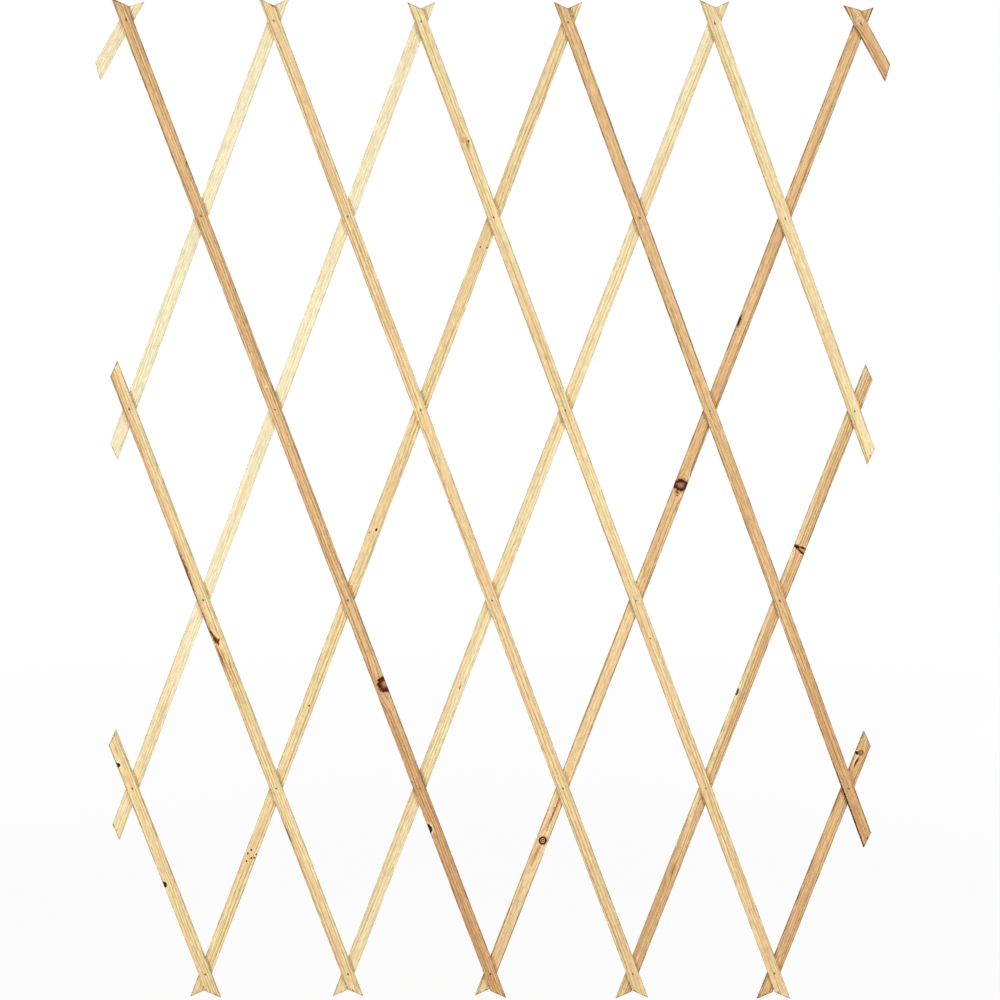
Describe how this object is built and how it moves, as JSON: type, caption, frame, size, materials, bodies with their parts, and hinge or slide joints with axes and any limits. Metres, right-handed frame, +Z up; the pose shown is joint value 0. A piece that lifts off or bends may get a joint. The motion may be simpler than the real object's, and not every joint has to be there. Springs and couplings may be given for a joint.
{
  "type": "expandable lattice fence",
  "caption": "Folding garden lattice fence: thin flat pine slats in two layers, pinned by small rivets where they cross, opens and closes like scissors.",
  "frame": {"origin": "on the ground below the middle rivet of the bottom row, at the joint face between the two layers, with the fence half open", "axes": "+Z up along the fence's height, +X along its width, +Y through its thickness towards the wall behind; the front faces -Y"},
  "size_m": [1.0456, 0.0122, 1.3435],
  "materials": {
    "pale_pine": "bare planed pine, cream, faint straight grain",
    "light_pine": "bare planed pine, light honey, straight grain",
    "tan_pine": "bare planed pine, tan heartwood, some knots",
    "dark_steel": "dull dark steel wire pins"
  },
  "bodies": {
    "middle_foot_rivet": {"rivet_row6_3": "dark_steel"},
    "front_slat_1": {"front_slat_1": "light_pine"},
    "front_slat_2": {"front_slat_2": "light_pine"},
    "front_slat_3": {"front_slat_3": "tan_pine"},
    "front_slat_4": {"front_slat_4": "light_pine"},
    "front_slat_5": {"front_slat_5": "light_pine"},
    "front_slat_6": {"front_slat_6": "tan_pine"},
    "front_slat_7": {"front_slat_7": "light_pine"},
    "front_slat_8": {"front_slat_8": "tan_pine"},
    "back_slat_1": {"back_slat_1": "pale_pine", "rivet_row1_1": "dark_steel"},
    "back_slat_2": {"back_slat_2": "pale_pine", "rivet_row1_2": "dark_steel", "rivet_row2_1": "dark_steel", "rivet_row3_1": "dark_steel"},
    "back_slat_3": {"back_slat_3": "pale_pine", "rivet_row1_3": "dark_steel", "rivet_row2_2": "dark_steel", "rivet_row3_2": "dark_steel", "rivet_row4_1": "dark_steel", "rivet_row5_1": "dark_steel"},
    "back_slat_4": {"back_slat_4": "light_pine", "rivet_row1_4": "dark_steel", "rivet_row2_3": "dark_steel", "rivet_row3_3": "dark_steel", "rivet_row4_2": "dark_steel", "rivet_row5_2": "dark_steel", "rivet_row6_1": "dark_steel"},
    "back_slat_5": {"back_slat_5": "light_pine", "rivet_row1_5": "dark_steel", "rivet_row2_4": "dark_steel", "rivet_row3_4": "dark_steel", "rivet_row4_3": "dark_steel", "rivet_row5_3": "dark_steel", "rivet_row6_2": "dark_steel"},
    "back_slat_6": {"back_slat_6": "tan_pine", "rivet_row1_6": "dark_steel", "rivet_row2_5": "dark_steel", "rivet_row3_5": "dark_steel", "rivet_row4_4": "dark_steel", "rivet_row5_4": "dark_steel"},
    "back_slat_7": {"back_slat_7": "tan_pine", "rivet_row3_6": "dark_steel", "rivet_row4_5": "dark_steel", "rivet_row5_5": "dark_steel", "rivet_row6_4": "dark_steel"},
    "back_slat_8": {"back_slat_8": "tan_pine", "rivet_row5_6": "dark_steel", "rivet_row6_5": "dark_steel"}
  },
  "joints": [
    {"name": "fence_fold", "type": "hinge", "parent": "middle_foot_rivet", "child": "front_slat_3", "pos_m": [0, 0, 0.03658], "axis": [0, -1, 0], "range_deg": [-16.1, 24.3]},
    {"name": "back_slat_6_fold", "type": "hinge", "parent": "middle_foot_rivet", "child": "back_slat_6", "pos_m": [0, 0, 0.03658], "axis": [0, -1, 0], "range_deg": [-24.3, 16.1]},
    {"name": "front_slat_1_pivot", "type": "hinge", "parent": "back_slat_4", "child": "front_slat_1", "pos_m": [-0.38599, 0, 0.03658], "axis": [0, -1, 0], "range_deg": [-32.2, 48.6]},
    {"name": "front_slat_2_pivot", "type": "hinge", "parent": "back_slat_5", "child": "front_slat_2", "pos_m": [-0.193, 0, 0.03658], "axis": [0, -1, 0], "range_deg": [-32.2, 48.6]},
    {"name": "front_slat_4_pivot", "type": "hinge", "parent": "back_slat_6", "child": "front_slat_4", "pos_m": [0.0965, 0, 0.29195], "axis": [0, -1, 0], "range_deg": [-32.2, 48.6]},
    {"name": "front_slat_5_pivot", "type": "hinge", "parent": "back_slat_6", "child": "front_slat_5", "pos_m": [0.193, 0, 0.54733], "axis": [0, -1, 0], "range_deg": [-32.2, 48.6]},
    {"name": "front_slat_6_pivot", "type": "hinge", "parent": "back_slat_6", "child": "front_slat_6", "pos_m": [0.2895, 0, 0.80271], "axis": [0, -1, 0], "range_deg": [-32.2, 48.6]},
    {"name": "front_slat_7_pivot", "type": "hinge", "parent": "back_slat_6", "child": "front_slat_7", "pos_m": [0.38599, 0, 1.05808], "axis": [0, -1, 0], "range_deg": [-32.2, 48.6]},
    {"name": "back_slat_2_pivot", "type": "hinge", "parent": "front_slat_3", "child": "back_slat_2", "pos_m": [-0.38599, 0, 1.05808], "axis": [0, -1, 0], "range_deg": [-48.6, 32.2]},
    {"name": "back_slat_3_pivot", "type": "hinge", "parent": "front_slat_3", "child": "back_slat_3", "pos_m": [-0.2895, 0, 0.80271], "axis": [0, -1, 0], "range_deg": [-48.6, 32.2]},
    {"name": "back_slat_4_pivot", "type": "hinge", "parent": "front_slat_3", "child": "back_slat_4", "pos_m": [-0.193, 0, 0.54733], "axis": [0, -1, 0], "range_deg": [-48.6, 32.2]},
    {"name": "back_slat_5_pivot", "type": "hinge", "parent": "front_slat_3", "child": "back_slat_5", "pos_m": [-0.0965, 0, 0.29195], "axis": [0, -1, 0], "range_deg": [-48.6, 32.2]},
    {"name": "back_slat_7_pivot", "type": "hinge", "parent": "front_slat_4", "child": "back_slat_7", "pos_m": [0.193, 0, 0.03658], "axis": [0, -1, 0], "range_deg": [-48.6, 32.2]},
    {"name": "back_slat_8_pivot", "type": "hinge", "parent": "front_slat_5", "child": "back_slat_8", "pos_m": [0.38599, 0, 0.03658], "axis": [0, -1, 0], "range_deg": [-48.6, 32.2]},
    {"name": "left_corner_slat_swing", "type": "hinge", "parent": "front_slat_3", "child": "back_slat_1", "pos_m": [-0.48249, 0, 1.31346], "axis": [0, 1, 0], "range_deg": [-58, 60]},
    {"name": "right_corner_slat_swing", "type": "hinge", "parent": "back_slat_6", "child": "front_slat_8", "pos_m": [0.48249, 0, 1.31346], "axis": [0, -1, 0], "range_deg": [-58, 60]}
  ],
  "couplings": [
    {"joint": "back_slat_6_fold", "follows": "fence_fold", "ratio": -1},
    {"joint": "front_slat_1_pivot", "follows": "fence_fold", "ratio": 2},
    {"joint": "front_slat_2_pivot", "follows": "fence_fold", "ratio": 2},
    {"joint": "front_slat_4_pivot", "follows": "fence_fold", "ratio": 2},
    {"joint": "front_slat_5_pivot", "follows": "fence_fold", "ratio": 2},
    {"joint": "front_slat_6_pivot", "follows": "fence_fold", "ratio": 2},
    {"joint": "front_slat_7_pivot", "follows": "fence_fold", "ratio": 2},
    {"joint": "back_slat_2_pivot", "follows": "fence_fold", "ratio": -2},
    {"joint": "back_slat_3_pivot", "follows": "fence_fold", "ratio": -2},
    {"joint": "back_slat_4_pivot", "follows": "fence_fold", "ratio": -2},
    {"joint": "back_slat_5_pivot", "follows": "fence_fold", "ratio": -2},
    {"joint": "back_slat_7_pivot", "follows": "fence_fold", "ratio": -2},
    {"joint": "back_slat_8_pivot", "follows": "fence_fold", "ratio": -2}
  ]
}
